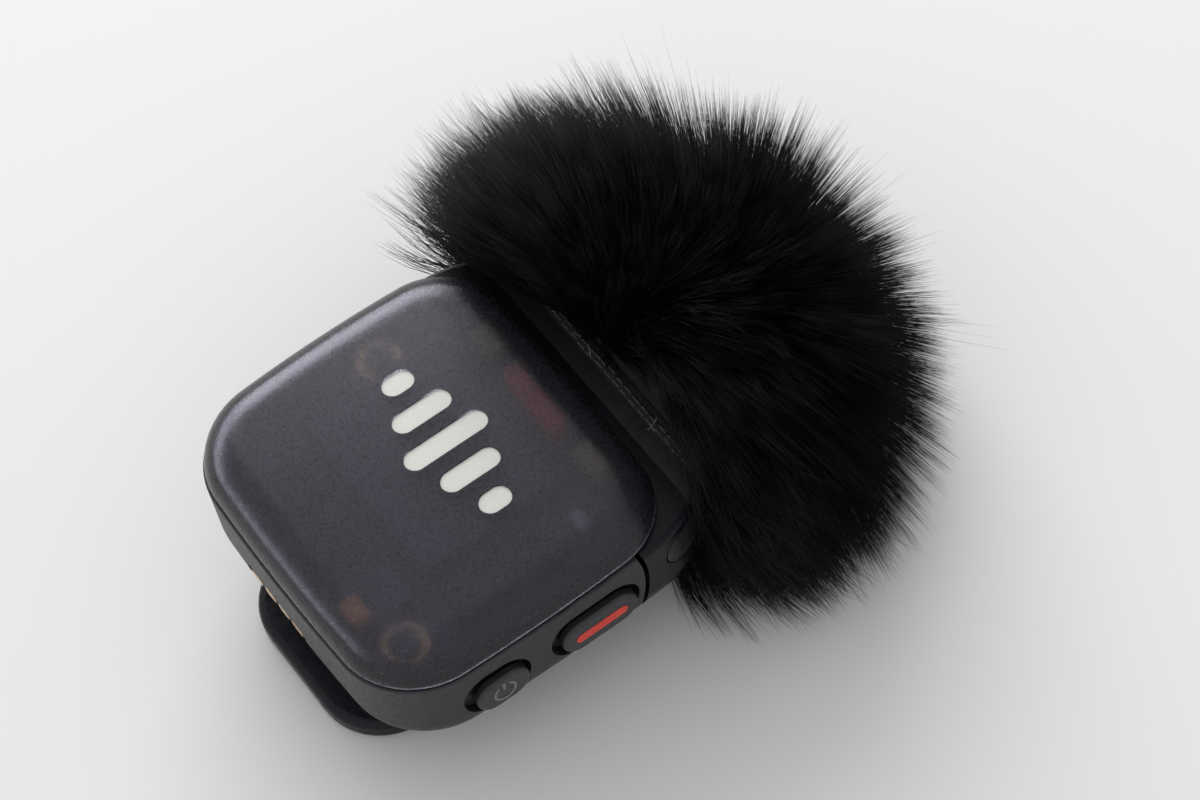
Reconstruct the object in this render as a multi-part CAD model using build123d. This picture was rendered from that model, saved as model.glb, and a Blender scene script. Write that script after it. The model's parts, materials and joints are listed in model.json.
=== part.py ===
from build123d import *
import math
import os

# Cordless clip-on lavalier microphone with a fur windscreen, in millimetres.
# It lies on its clip. +Z is out of the front cover, +Y is towards the sound inlet and the windscreen, and
# +X is the side with the buttons. The origin is where the clip's swivel axis meets the resting plane.
# A pair of numbers is a low and a high limit, unless its comment says otherwise.

# ---- Body
BODY_WIDTH = 28.34
BODY_LENGTH = 28.77
OVERALL_HEIGHT = 16.35
COVER_LENGTH = 24.9
BODY_BOTTOM = 5.9
BODY_TOP = 12.95            # top rim of the housing and the head cap
GASKET_THICKNESS = 0.25
GASKET_INSET = 0.35         # depth of the seam between housing and cover
SIDE_BOW = 0.5              # how far a side of the outline bows out at its middle
NEAR_CORNER = 6.3           # outline corners at the charging end
COVER_FAR_CORNER = 5.7      # cover's corners at the head end
HEAD_CORNER = 8.5           # body's corners at the head end
BOTTOM_ROLL = 2.0
RIM_ROUND = 0.15            # softened top rim of the housing
HEAD_RIM_ROUND = 0.45
WALL = 1.3
FLOOR = 1.2
COVER_WALL = 1.1
COVER_LEDGE = 0.17          # housing's rim that shows outside the cover
LIP_DEPTH = 0.9             # cover's lip, inside the housing's walls
LIP_ROOT = 0.4
LIP_THICKNESS = 0.65
LIP_END_Y = 7.6
COVER_TAPER = 10            # degrees
COVER_ROLL = 3.0
DOME_RADIUS = 190.0
SPLIT_RADIUS = 8.85         # curved groove between housing and head cap, as an arc seen from the side
SPLIT_Y = -0.75
SPLIT_Z = 10.8
CAP_GROOVE = 0.35
NECK_START = 12.95          # Y where the head steps in for the windscreen
NECK_INSET = 0.9
TIGHT = 0.03                # gap between pieces that only lie beside each other

# ---- Buttons, in the +X side
BUTTON_Z = 8.95
BUTTON_HEIGHT = 3.0
BUTTON_PROUD = 0.25
BUTTON_ROUND = 0.3
BUTTON_SHOULDER = 0.45      # gap under the button's cap, which is more than its travel
RECORD_Y = 3.9
RECORD_LENGTH = 6.2
POWER_Y = -4.1
POWER_LENGTH = 4.2
POCKET_Z = 9.45
POCKET_HEIGHT = 4.2
POCKET_DEPTH = 0.85
POCKET_MARGIN = 0.55        # pocket beyond the button at each end
POCKET_SHIFT = -0.25        # pocket's middle along Y, from its button's
STEM_MARGIN = 0.7           # stem inside the cap's outline, all round
STEM_CLEARANCE = 0.08
SEAL_THICKNESS = 0.15
STRIPE_SIZE = (4.2, 0.86)   # length and height
STRIPE_DEPTH = 0.2
SYMBOL_RADIUS = 0.82
SYMBOL_LINE = 0.2
SYMBOL_GAP = 0.8
SYMBOL_DEPTH = 0.15
SWITCH_X = (10.5, 11.4)
SWITCH_FACE_X = 11.8
SWITCH_SIZE = (3.0, 2.0)    # length and height
PLUNGER_SIZE = (1.4, 0.9)
SWITCH_GAP = 0.45           # between a stem and its switch
FLEX_THICKNESS = 0.2
FLEX_MARGIN = 0.4           # strip beyond the switches
FLEX_DROP = 1.2             # strip below the switches' middle
FLEX_TAIL_X = 8.6
FLEX_TAIL_HALF = 1.5
FLEX_GAP = 0.05             # under the board

# ---- Charging contacts, in the -Y end
CONTACT_X = -1.55
CONTACT_Z = 8.0
CONTACT_COUNT = 4
CONTACT_PITCH = 1.7
CONTACT_SIZE = (1.4, 0.9)   # width and height
CONTACT_PROUD = 0.1
CONTACT_LENGTH = 1.35
SLOT_LENGTH = 7.4
SLOT_HEIGHT = 1.5
SLOT_RECESS = 0.15
CARRIER_LENGTH = 1.75

# ---- Emblem: five rounded bars of a sound level
BAR_HEIGHTS = [2.4, 4.6, 6.6, 4.6, 2.4]
BAR_WIDTH = 1.7
BAR_PITCH = 2.95
EMBLEM_Y = 2.2
EMBLEM_DEPTH = 0.45
EMBLEM_RECESS = 0.14

# ---- Board, and what stands on it: X pair, Y pair and height above the board
BOARD_Z = 11.4
BOARD_THICKNESS = 0.8
BOARD_INSET = 2.1
BOARD_TOP = BOARD_Z + BOARD_THICKNESS
SHIELD_CAN = ((-8.6, 6.3), (-4.4, 6.9), 1.7)
SHIELD_SHEET = 0.2
SHIELD_CORNER = 0.8
SHIELD_ROUND = 0.3
CHIPS = [
    ((-7.6, -3.8), (-9.7, -5.9), 0.9),
    ((-2.0, 1.2), (-9.6, -6.4), 0.8),
    ((7.4, 10.4), (-4.0, 0.2), 1.0),
    ((7.6, 10.6), (1.6, 4.4), 0.8),
    ((-4.5, 4.5), (-2.0, 4.0), 1.0),
]
TANTALUM_CAPACITORS = [((-7.3, -4.7), (8.7, 10.3), 1.8), ((5.0, 7.6), (8.7, 10.3), 1.8)]
ORANGE_CAPACITOR = ((4.4, 6.4), (-10.1, -8.7), 1.2)
CAPACITOR_ROUND = 0.13
CRYSTAL_CAN = ((3.8, 7.0), (-8.1, -5.7), 0.9)
CRYSTAL_CORNER = 0.4
STATUS_LED = ((8.2, 9.6), (6.0, 6.8), 0.6)
MIC_BOOT = ((-3.2, 3.2), (8.4, 10.1), 2.0)
BOOT_CORNER = 0.7
BOOT_ROUND = 0.4

# ---- Screws: head radius, head height, shank radius and shank length
BOARD_SCREW = (1.05, 0.6, 0.5, 3.2)
HEAD_SCREW = (1.0, 0.55, 0.5, 1.55)
SWIVEL_SCREW = (2.0, 0.6, 1.0, 1.9)
CROSS_WIDTH = 0.22
BOARD_SCREWS = [(9.1, -8.0), (-10.4, 3.0)]      # X and Y
BOARD_HOLE_RADIUS = 0.55
BOSS_RADIUS = 1.5
BOSS_SINK = 1.0             # solid bottom of a boss, below its hole
RING_RADIUS = 1.65
RING_HOLE_RADIUS = 0.6
RING_THICKNESS = 0.06
HEAD_SCREWS = [(-7.5, 5.2), (7.5, 5.2)]
HEAD_SCREW_SINK = 0.65      # counterbore in the floor
HEAD_SCREW_SPACE = 0.05     # round the screw's head and its shank
TAB_HALF_WIDTH = 1.8        # head cap's tabs, which the screws hold down
TAB_THICKNESS = 1.5
TAB_START_Y = 4.0
TAB_ROOT_Y = (7.7, 8.9)
TAB_HOLE_DEPTH = 1.2

# ---- Battery, antenna and microphones
BATTERY_X = (-8.6, 6.8)
BATTERY_Y = (-9.5, 3.85)
BATTERY_Z = (7.85, 11.0)
BATTERY_ROUND = 0.9
BATTERY_END_ROUND = 0.3
BATTERY_PAD_INSET = 1.3
KEEPER_INSET = 1.0
KEEPER_THICKNESS = 0.4
KEEPER_CORNER = 1.0
ANTENNA_X = (-12.5, -12.3)
ANTENNA_Y = (-6.0, 0.5)
ANTENNA_Z = (8.0, 11.9)
CAPSULE_X = [-4.6, 4.6]
CAPSULE_Y = (12.5, 14.1)
CAPSULE_Z = 9.4
CAPSULE_RADIUS = 1.9
CAPSULE_ROUND = 0.25
CHAMBER_X = 8.5             # half the width of the chamber in the head
CHAMBER_Y = (12.3, 15.1)
CHAMBER_HEIGHT = 4.0
CHAMBER_GAP = 0.1
GASKET_Y = (12.4, 14.0)
MESH_Y = (14.8, 15.0)
INLET_LENGTH = 15.0
INLET_HEIGHT = 3.0

# ---- Swivel, below the body
BASE_BOTTOM = 4.2
BASE_TOP = 5.7
BASE_WIDTH = 15.0
BASE_Y = (-10.5, 7.6)
BASE_CORNER = 3.2
BASE_ROUND = 0.4
BUSH_RADIUS = 3.0
BUSH_CLEARANCE = 0.06
WASHER_RADIUS = 4.0
WASHER_CLEARANCE = 0.15
WASHER_Z = (BASE_BOTTOM + 0.4, BASE_BOTTOM + 0.8)
BUSH_BOTTOM = BASE_BOTTOM + 0.9
BUSH_ROOF = 0.5             # solid top of the bush, above the screw's hole
SPACER_RADIUS = 1.8
SCREW_SPACE_RADIUS = 1.05
PIN_Y = 6.0
PIN_Z = 3.3
PIN_RADIUS = 0.6
PIN_HALF_LENGTH = 7.1
PIN_CHAMFER = 0.12
PIN_CLEARANCE = 0.06
KNUCKLE_RADIUS = 1.3
BASE_KNUCKLES_X = [(-6.9, -5.3), (5.3, 6.9)]
LEVER_KNUCKLES_X = [(-5.1, -3.4), (3.4, 5.1)]
SPRING_SPACE_X = 5.2        # half the width of the opening over the coil
SPRING_SPACE_Y = (PIN_Y - 1.55, PIN_Y + 1.7)
SPRING_SPACE_TOP = PIN_Z + KNUCKLE_RADIUS + 0.25

# ---- Clip lever
LEVER_WIDTH = 17.0
LEVER_Y = (-13.3, 12.0)
LEVER_THICKNESS = 1.9
LEVER_ROUND = 0.6
LEVER_NEAR_CORNER = 5.0
LEVER_TAB_CORNER = 4.0
JAW_X = 5.6                 # half the width of the jaw
JAW_Y = (-10.3, -8.1)
JAW_TOP = 3.2
JAW_GAP = 0.15              # between the closed jaw's pad and the base
PAD_INSET = 0.2
TOOTH_COUNT = 4
TOOTH_PITCH = 2.2
TOOTH_GROOVE = 0.5
TOOTH_DEPTH = 0.3
GRIP_Y = [8.4, 9.4, 10.4]   # grooves of the thumb tab
GRIP_HALF_LENGTH = 4.5
GRIP_GROOVE = 0.4
GRIP_DEPTH = 0.25
MAGNET_Y = -4.2
MAGNET_RADIUS = 3.0
MAGNET_SINK = 0.8
MAGNET_PROUD = 0.3
MAGNET_CHAMFER = 0.15
SPRING_WIRE = 0.2
SPRING_COIL = 1.05
SPRING_PITCH = 0.55
SPRING_TURNS = 9.5
LONG_LEG = 4.2
SHORT_LEG = 0.8

# ---- Windscreen
RIM_Y = 15.15
RIM_PROUD = 0.35
RIM_THICKNESS = 0.4
RIM_DEPTH = 0.3             # how far the rim reaches into the ring
COLLAR_GAP = 0.15
COLLAR_END_Y = 16.4
TONGUE_Z = 10.5
TONGUE_HEIGHT = 2.8
TONGUE_END_Y = 9.9
TONGUE_THICKNESS = 0.7
TONGUE_GAP = 0.1
CORE_Y = 15.4
CORE_SIZE = (25.4, 5.0, 9.6)
CORE_Z = 9.5
CORE_ROUND = 2.2
BACKING_THICKNESS = 0.6
FUR_CENTRE = (0, 17.8, 7.8)
FUR_RADII = (20.6, 19.7, 18.7)
FUR_BACK_Y = 6.5            # where the pile beside the body ends
FUR_BODY_GAP = 0.6
SWEEP_RADIUS = 14.5         # circle that the turning clip stays inside

SIDE_X = BODY_WIDTH / 2
END_Y = -COVER_LENGTH / 2
HEAD_Y = END_Y + BODY_LENGTH + NECK_INSET
SEAM_Z = BODY_TOP + GASKET_THICKNESS
FLOOR_TOP = BODY_BOTTOM + FLOOR
POCKET_X = SIDE_X - POCKET_DEPTH
FAR = 60.0                  # larger than the whole object
EVERYWHERE = (-FAR, FAR)
ABOVE = (0, FAR)


# ---- Shared shapes

def block(x, y, z):
    """A box from its pairs along X, Y and Z."""
    size = [high - low for low, high in (x, y, z)]
    middle = [(high + low) / 2 for low, high in (x, y, z)]
    return Pos(*middle) * Box(*size)


def post(x, y, z, radius):
    """An upright cylinder at x, y over the pair z."""
    return Pos(x, y, (z[0] + z[1]) / 2) * Cylinder(radius, z[1] - z[0])


def rod_x(x, y, z, radius):
    """A cylinder along X over the pair x."""
    return Pos((x[0] + x[1]) / 2, y, z) * Rot(0, 90, 0) * Cylinder(radius, x[1] - x[0])


def rod_y(x, y, z, radius):
    """A cylinder along Y over the pair y."""
    return Pos(x, (y[0] + y[1]) / 2, z) * Rot(90, 0, 0) * Cylinder(radius, y[1] - y[0])


def prism(face, low, high):
    """A face of the XY plane raised between two heights."""
    return extrude(Pos(0, 0, low) * face, high - low, dir=(0, 0, 1))


def pill_x(length, height, x, y, z):
    """A pill with its long axis along Y, raised along X over the pair x."""
    face = Plane(origin=(x[0], y, z), x_dir=(0, 1, 0), z_dir=(1, 0, 0)) * SlotOverall(length, height)
    return extrude(face, x[1] - x[0], dir=(1, 0, 0))


def pill_y(length, height, x, y, z):
    """A pill with its long axis along X, raised along Y over the pair y."""
    face = Plane(origin=(x, y[0], z), x_dir=(1, 0, 0), z_dir=(0, 1, 0)) * SlotOverall(length, height)
    return extrude(face, y[1] - y[0], dir=(0, 1, 0))


def uprights(shape):
    return shape.edges().filter_by(Axis.Z)


def top_edges(shape):
    return shape.edges().group_by(Axis.Z)[-1]


def bottom_edges(shape):
    return shape.edges().group_by(Axis.Z)[0]


def shrink(pair, margin):
    return (pair[0] + margin, pair[1] - margin)


def on_board(x, y, height):
    """A block on top of the board."""
    return block(x, y, (BOARD_TOP, BOARD_TOP + height))


def outline(y_low, y_high, near_corner, far_corner, inset):
    """A rounded rectangle with bowed sides, moved in by inset."""
    x = SIDE_X - inset
    low = y_low + inset
    high = y_high - inset
    corner_x = x - SIDE_BOW
    corner_low = low + SIDE_BOW
    corner_high = high - SIDE_BOW
    middle_y = (low + high) / 2
    corners = [
        (-corner_x, corner_low),
        (corner_x, corner_low),
        (corner_x, corner_high),
        (-corner_x, corner_high),
    ]
    middles = [(0, low), (x, middle_y), (0, high), (-x, middle_y)]
    sides = [ThreePointArc(corners[k], middles[k], corners[(k + 1) % 4]) for k in range(4)]
    face = make_face(Curve() + sides)
    face = fillet(face.vertices().group_by(Axis.Y)[0], near_corner - inset)
    return fillet(face.vertices().group_by(Axis.Y)[-1], far_corner - inset)


def cover_outline(inset):
    return outline(END_Y, -END_Y, NEAR_CORNER, COVER_FAR_CORNER, inset)


def body_outline(inset):
    return outline(END_Y, HEAD_Y, NEAR_CORNER, HEAD_CORNER, inset)


def body_form(inset, top=BODY_TOP, rim=RIM_ROUND):
    """The whole lower body with its rolled bottom edge and softened top rim, moved in by inset."""
    form = prism(body_outline(inset), BODY_BOTTOM + inset, top)
    form = fillet(bottom_edges(form), BOTTOM_ROLL - inset / 2)
    return fillet(top_edges(form), rim)


def cover_form(inset, roll):
    """The cover's outer form, or a form inset inside it."""
    top = OVERALL_HEIGHT - inset
    side = COVER_LEDGE + inset
    lean = math.tan(math.radians(COVER_TAPER)) * (top + 1 - SEAM_Z)
    low = Pos(0, 0, SEAM_Z) * cover_outline(side)
    high = Pos(0, 0, top + 1) * cover_outline(side + lean)
    form = loft([low, high], ruled=True) & dome(inset)
    rim = form.edges().filter_by(lambda edge: edge.bounding_box().min.Z > SEAM_Z + 1)
    return fillet(rim, roll)


def dome(drop):
    """All space under the cover's crown, lowered by drop."""
    return Pos(0, 0, OVERALL_HEIGHT - drop - DOME_RADIUS) * Sphere(DOME_RADIUS)


def behind_split(grow):
    """All space behind the curved parting between housing and head cap, moved towards +Y by grow."""
    behind = block(EVERYWHERE, (-FAR, SPLIT_Y), ABOVE)
    return behind + rod_x(EVERYWHERE, SPLIT_Y, SPLIT_Z, SPLIT_RADIUS + grow)


# ---- Cover and emblem

def emblem_bars(grow, low):
    bars = []
    for k, height in enumerate(BAR_HEIGHTS):
        x = (k - (len(BAR_HEIGHTS) - 1) / 2) * BAR_PITCH
        face = Pos(x, EMBLEM_Y) * Rot(0, 0, 90) * SlotOverall(height + 2 * grow, BAR_WIDTH + 2 * grow)
        bars.append(prism(face, low, OVERALL_HEIGHT + 1))
    return bars


def front_cover():
    shell = cover_form(0, COVER_ROLL) - cover_form(COVER_WALL, COVER_ROLL - COVER_WALL)
    lip = prism(cover_outline(WALL + TIGHT), SEAM_Z - LIP_DEPTH, SEAM_Z + LIP_ROOT)
    lip += prism(cover_outline(WALL / 2), SEAM_Z, SEAM_Z + LIP_ROOT)
    lip -= prism(cover_outline(WALL + LIP_THICKNESS), 0, FAR)
    shell += lip & block(EVERYWHERE, (-FAR, LIP_END_Y), ABOVE)
    for bar in emblem_bars(TIGHT, OVERALL_HEIGHT - EMBLEM_DEPTH):
        shell -= bar
    return shell


def emblem_inlay():
    under = dome(EMBLEM_RECESS)
    return [bar & under for bar in emblem_bars(0, OVERALL_HEIGHT - EMBLEM_DEPTH)]


def seam_gasket():
    ring = prism(cover_outline(GASKET_INSET), BODY_TOP, SEAM_Z)
    return ring - prism(cover_outline(WALL - TIGHT), 0, FAR)


# ---- Housing and head cap

def cavity():
    """The space inside the walls, under the cover."""
    return prism(cover_outline(WALL), FLOOR_TOP, FAR)


def pocket(length, y):
    x = (POCKET_X, FAR)
    return pill_x(length + 2 * POCKET_MARGIN, POCKET_HEIGHT, x, y + POCKET_SHIFT, POCKET_Z)


def stem(length, y, grow, x):
    """The stem behind a button's cap, grown on all sides, over the pair x."""
    size = 2 * (grow - STEM_MARGIN)
    return pill_x(length + size, BUTTON_HEIGHT + size, x, y, BUTTON_Z)


def contact_slot():
    y = (-FAR, END_Y + SLOT_RECESS + CARRIER_LENGTH)
    return pill_y(SLOT_LENGTH, SLOT_HEIGHT, CONTACT_X, y, CONTACT_Z)


def rear_housing():
    tub = (body_form(0) - cavity()) & behind_split(-CAP_GROOVE / 2)
    for x, y in BOARD_SCREWS:
        tub += post(x, y, (FLOOR_TOP - BOSS_SINK / 2, BOARD_Z), BOSS_RADIUS)
        tub -= post(x, y, (FLOOR_TOP + BOSS_SINK, FAR), BOARD_SCREW[2])
    for length, y in ((RECORD_LENGTH, RECORD_Y), (POWER_LENGTH, POWER_Y)):
        tub -= pocket(length, y)
        tub -= stem(length, y, STEM_CLEARANCE + SEAL_THICKNESS, (SIDE_X - 2 * WALL, FAR))
    tub -= contact_slot()
    tub -= post(0, 0, (0, FLOOR_TOP + 1), BUSH_RADIUS)
    head_radius, _, shank_radius, _ = HEAD_SCREW
    for x, y in HEAD_SCREWS:
        tub -= post(x, y, (0, BODY_BOTTOM + HEAD_SCREW_SINK), head_radius + HEAD_SCREW_SPACE)
        tub -= post(x, y, (0, FLOOR_TOP + 1), shank_radius + HEAD_SCREW_SPACE)
    return tub


def tongue_space(grow):
    """A round-ended slot across both sides of the head, open towards +Y, grown on all sides."""
    height = TONGUE_HEIGHT + 2 * grow
    length = 2 * (NECK_START - TONGUE_END_Y + grow)
    face = Plane(origin=(-FAR, NECK_START, TONGUE_Z), x_dir=(0, 1, 0), z_dir=(1, 0, 0))
    slot = extrude(face * SlotOverall(length, height), 2 * FAR, dir=(1, 0, 0))
    return slot & block(EVERYWHERE, (0, NECK_START + TIGHT), ABOVE)


def head_tab(x):
    """A tab of the head cap that reaches over the housing's floor to a screw."""
    sides = (x - TAB_HALF_WIDTH, x + TAB_HALF_WIDTH)
    top = FLOOR_TOP + TAB_THICKNESS
    tab = block(sides, (TAB_START_Y, TAB_ROOT_Y[1]), (FLOOR_TOP + TIGHT, top))
    return tab + block(sides, TAB_ROOT_Y, (FLOOR_TOP - FLOOR / 4, top))


def head_cap():
    behind = behind_split(CAP_GROOVE / 2)
    cap = body_form(0, rim=HEAD_RIM_ROUND) & block(EVERYWHERE, (0, NECK_START), ABOVE)
    cap += body_form(NECK_INSET, BODY_TOP - NECK_INSET, HEAD_RIM_ROUND) & block(EVERYWHERE, ABOVE, ABOVE)
    cap -= behind + cavity()
    half_height = CHAMBER_HEIGHT / 2
    cap -= block((-CHAMBER_X, CHAMBER_X), CHAMBER_Y, (CAPSULE_Z - half_height, CAPSULE_Z + half_height))
    cap -= pill_y(INLET_LENGTH, INLET_HEIGHT, 0, (CHAMBER_Y[1] - 0.1, FAR), CAPSULE_Z)
    cap -= tongue_space(TONGUE_GAP) - body_form(TONGUE_THICKNESS + TONGUE_GAP)
    for x, y in HEAD_SCREWS:
        cap += head_tab(x)
        cap -= post(x, y, (0, FLOOR_TOP + TAB_HOLE_DEPTH), HEAD_SCREW[2])
    return cap


def contact_pads():
    """Gold pads that stand a little proud of the carrier's face."""
    width, height = CONTACT_SIZE
    face_y = END_Y + SLOT_RECESS - CONTACT_PROUD
    pads = []
    for k in range(CONTACT_COUNT):
        x = CONTACT_X + (k - (CONTACT_COUNT - 1) / 2) * CONTACT_PITCH
        pads.append(pill_y(width, height, x, (face_y, face_y + CONTACT_LENGTH), CONTACT_Z))
    return pads


def contact_carrier():
    carrier = contact_slot() & block(EVERYWHERE, (END_Y + SLOT_RECESS, 0), ABOVE)
    for pad in contact_pads():
        carrier -= pad
    return carrier


# ---- Buttons

def button(length, y):
    """A pill cap with a rounded face, and the narrower stem behind it."""
    back = POCKET_X + BUTTON_SHOULDER
    cap = pill_x(length, BUTTON_HEIGHT, (back, SIDE_X + BUTTON_PROUD), y, BUTTON_Z)
    cap = fillet(cap.edges().group_by(Axis.X)[-1], BUTTON_ROUND)
    return cap + stem(length, y, 0, (SWITCH_FACE_X + SWITCH_GAP, back))


def record_button():
    return button(RECORD_LENGTH, RECORD_Y) - record_stripe()


def record_stripe():
    face_x = SIDE_X + BUTTON_PROUD
    return pill_x(*STRIPE_SIZE, (face_x - STRIPE_DEPTH, face_x + TIGHT), RECORD_Y, BUTTON_Z)


def power_button():
    cap = button(POWER_LENGTH, POWER_Y)
    for part in power_symbol():
        cap -= part
    return cap


def power_symbol():
    """An open ring with an upright bar in its gap."""
    origin = (SIDE_X + BUTTON_PROUD - SYMBOL_DEPTH, POWER_Y, BUTTON_Z)
    plane = Plane(origin=origin, x_dir=(0, 1, 0), z_dir=(1, 0, 0))
    ring = Circle(SYMBOL_RADIUS + SYMBOL_LINE / 2) - Circle(SYMBOL_RADIUS - SYMBOL_LINE / 2)
    ring -= Pos(0, SYMBOL_RADIUS) * Rectangle(SYMBOL_GAP, SYMBOL_RADIUS)
    bar = Pos(0, SYMBOL_RADIUS * 3 / 4) * Rectangle(SYMBOL_LINE, SYMBOL_RADIUS)
    return [extrude(plane * part, SYMBOL_DEPTH + TIGHT, dir=(1, 0, 0)) for part in (ring, bar)]


def button_seals():
    """Soft rings round the two stems, inside the wall."""
    x = (SIDE_X - WALL + TIGHT, POCKET_X)
    seals = []
    for length, y in ((RECORD_LENGTH, RECORD_Y), (POWER_LENGTH, POWER_Y)):
        ring = stem(length, y, STEM_CLEARANCE + SEAL_THICKNESS, x)
        seals.append(ring - stem(length, y, STEM_CLEARANCE, x))
    return seals


def tact_switch(y):
    length, height = SWITCH_SIZE
    body = block(SWITCH_X, (y - length / 2, y + length / 2), (BUTTON_Z - height / 2, BUTTON_Z + height / 2))
    return body + pill_x(*PLUNGER_SIZE, (SWITCH_X[1], SWITCH_FACE_X), y, BUTTON_Z)


def record_switch():
    return tact_switch(RECORD_Y)


def power_switch():
    return tact_switch(POWER_Y)


def switch_flex():
    """A strip behind both switches, with a tail that turns in under the board."""
    reach = SWITCH_SIZE[0] / 2 + FLEX_MARGIN
    x = (SWITCH_X[0] - FLEX_THICKNESS, SWITCH_X[0])
    tail_top = BOARD_Z - FLEX_GAP
    tail_z = (tail_top - FLEX_THICKNESS, tail_top)
    strip = block(x, (POWER_Y - reach, RECORD_Y + reach), (BUTTON_Z - FLEX_DROP, tail_z[0]))
    return strip + block((FLEX_TAIL_X, SWITCH_X[0]), (-FLEX_TAIL_HALF, FLEX_TAIL_HALF), tail_z)


# ---- Board and what stands on it

def main_board():
    board = prism(cover_outline(BOARD_INSET), BOARD_Z, BOARD_TOP)
    for x, y in BOARD_SCREWS:
        board -= post(x, y, ABOVE, BOARD_HOLE_RADIUS)
    return board


def shield_can():
    x, y, height = SHIELD_CAN
    can = on_board(x, y, height)
    can = fillet(uprights(can), SHIELD_CORNER)
    can = fillet(top_edges(can), SHIELD_ROUND)
    return can - on_board(shrink(x, SHIELD_SHEET), shrink(y, SHIELD_SHEET), height - SHIELD_SHEET)


def board_chips():
    return [on_board(*chip) for chip in CHIPS]


def tantalum_capacitors():
    return [fillet(on_board(*size).edges(), CAPACITOR_ROUND) for size in TANTALUM_CAPACITORS]


def orange_capacitor():
    return fillet(on_board(*ORANGE_CAPACITOR).edges(), CAPACITOR_ROUND)


def crystal_can():
    return fillet(uprights(on_board(*CRYSTAL_CAN)), CRYSTAL_CORNER)


def status_led():
    return on_board(*STATUS_LED)


def mic_boot():
    boot = on_board(*MIC_BOOT)
    boot = fillet(uprights(boot), BOOT_CORNER)
    return fillet(top_edges(boot), BOOT_ROUND)


def screw(x, y, seat, head_radius, head_height, shank_radius, length):
    """A cross-recess pan screw, its head upward on the plane z = seat."""
    body = post(x, y, (seat, seat + head_height), head_radius)
    body = fillet(top_edges(body), head_height / 3)
    body += post(x, y, (seat - length, seat + TIGHT), shank_radius)
    for angle in (0, 90):
        body -= Pos(x, y, seat + head_height) * Rot(0, 0, angle) * Box(head_radius, CROSS_WIDTH, head_height)
    return body


def screw_from_below(x, y, seat, size):
    upright = screw(x, y, 0, *size)
    return Pos(0, 0, seat) * mirror(upright, about=Plane.XY)


def plated_rings():
    z = (BOARD_TOP, BOARD_TOP + RING_THICKNESS)
    return [post(x, y, z, RING_RADIUS) - post(x, y, ABOVE, RING_HOLE_RADIUS) for x, y in BOARD_SCREWS]


def board_screws():
    return [screw(x, y, BOARD_TOP + RING_THICKNESS, *BOARD_SCREW) for x, y in BOARD_SCREWS]


def head_screws():
    return [screw_from_below(x, y, BODY_BOTTOM + HEAD_SCREW_SINK, HEAD_SCREW) for x, y in HEAD_SCREWS]


# ---- Battery, antenna, microphones

def battery_cell():
    cell = block(BATTERY_X, BATTERY_Y, BATTERY_Z)
    cell = fillet(cell.edges().filter_by(Axis.Y), BATTERY_ROUND)
    return fillet(cell.edges().group_by(Axis.Y)[0] + cell.edges().group_by(Axis.Y)[-1], BATTERY_END_ROUND)


def battery_pad():
    z = (FLOOR_TOP + KEEPER_THICKNESS, BATTERY_Z[0])
    return block(shrink(BATTERY_X, BATTERY_PAD_INSET), shrink(BATTERY_Y, BATTERY_PAD_INSET), z)


def keeper_plate():
    z = (FLOOR_TOP, FLOOR_TOP + KEEPER_THICKNESS)
    plate = block(shrink(BATTERY_X, KEEPER_INSET), shrink(BATTERY_Y, KEEPER_INSET), z)
    return fillet(uprights(plate), KEEPER_CORNER)


def antenna_strip():
    return block(ANTENNA_X, ANTENNA_Y, ANTENNA_Z)


def mic_capsules():
    capsules = []
    for x in CAPSULE_X:
        can = rod_y(x, CAPSULE_Y, CAPSULE_Z, CAPSULE_RADIUS)
        capsules.append(fillet(can.edges().group_by(Axis.Y)[-1], CAPSULE_ROUND))
    return capsules


def in_chamber(y):
    """A block that fills the head's chamber over the pair y, with a small gap round it."""
    x = CHAMBER_X - CHAMBER_GAP
    z = CHAMBER_HEIGHT / 2 - CHAMBER_GAP / 2
    return block((-x, x), y, (CAPSULE_Z - z, CAPSULE_Z + z))


def capsule_gasket():
    """Soft block that holds both capsules in the head."""
    pad = in_chamber(GASKET_Y)
    for x in CAPSULE_X:
        pad -= rod_y(x, ABOVE, CAPSULE_Z, CAPSULE_RADIUS)
    return pad


def inlet_mesh():
    return in_chamber(MESH_Y)


# ---- Swivel

def swivel_bush():
    bush = post(0, 0, (BUSH_BOTTOM, FLOOR_TOP), BUSH_RADIUS)
    return bush - post(0, 0, (0, FLOOR_TOP - BUSH_ROOF), SWIVEL_SCREW[2])


def swivel_washer():
    return post(0, 0, WASHER_Z, WASHER_RADIUS) - post(0, 0, ABOVE, SCREW_SPACE_RADIUS)


def swivel_screw():
    return screw_from_below(0, 0, WASHER_Z[0], SWIVEL_SCREW)


def swivel_spacer():
    """The thin ring that fills the gap between the washer and the bush."""
    return post(0, 0, (WASHER_Z[1], BUSH_BOTTOM), SPACER_RADIUS) - post(0, 0, ABOVE, SCREW_SPACE_RADIUS)


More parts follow.
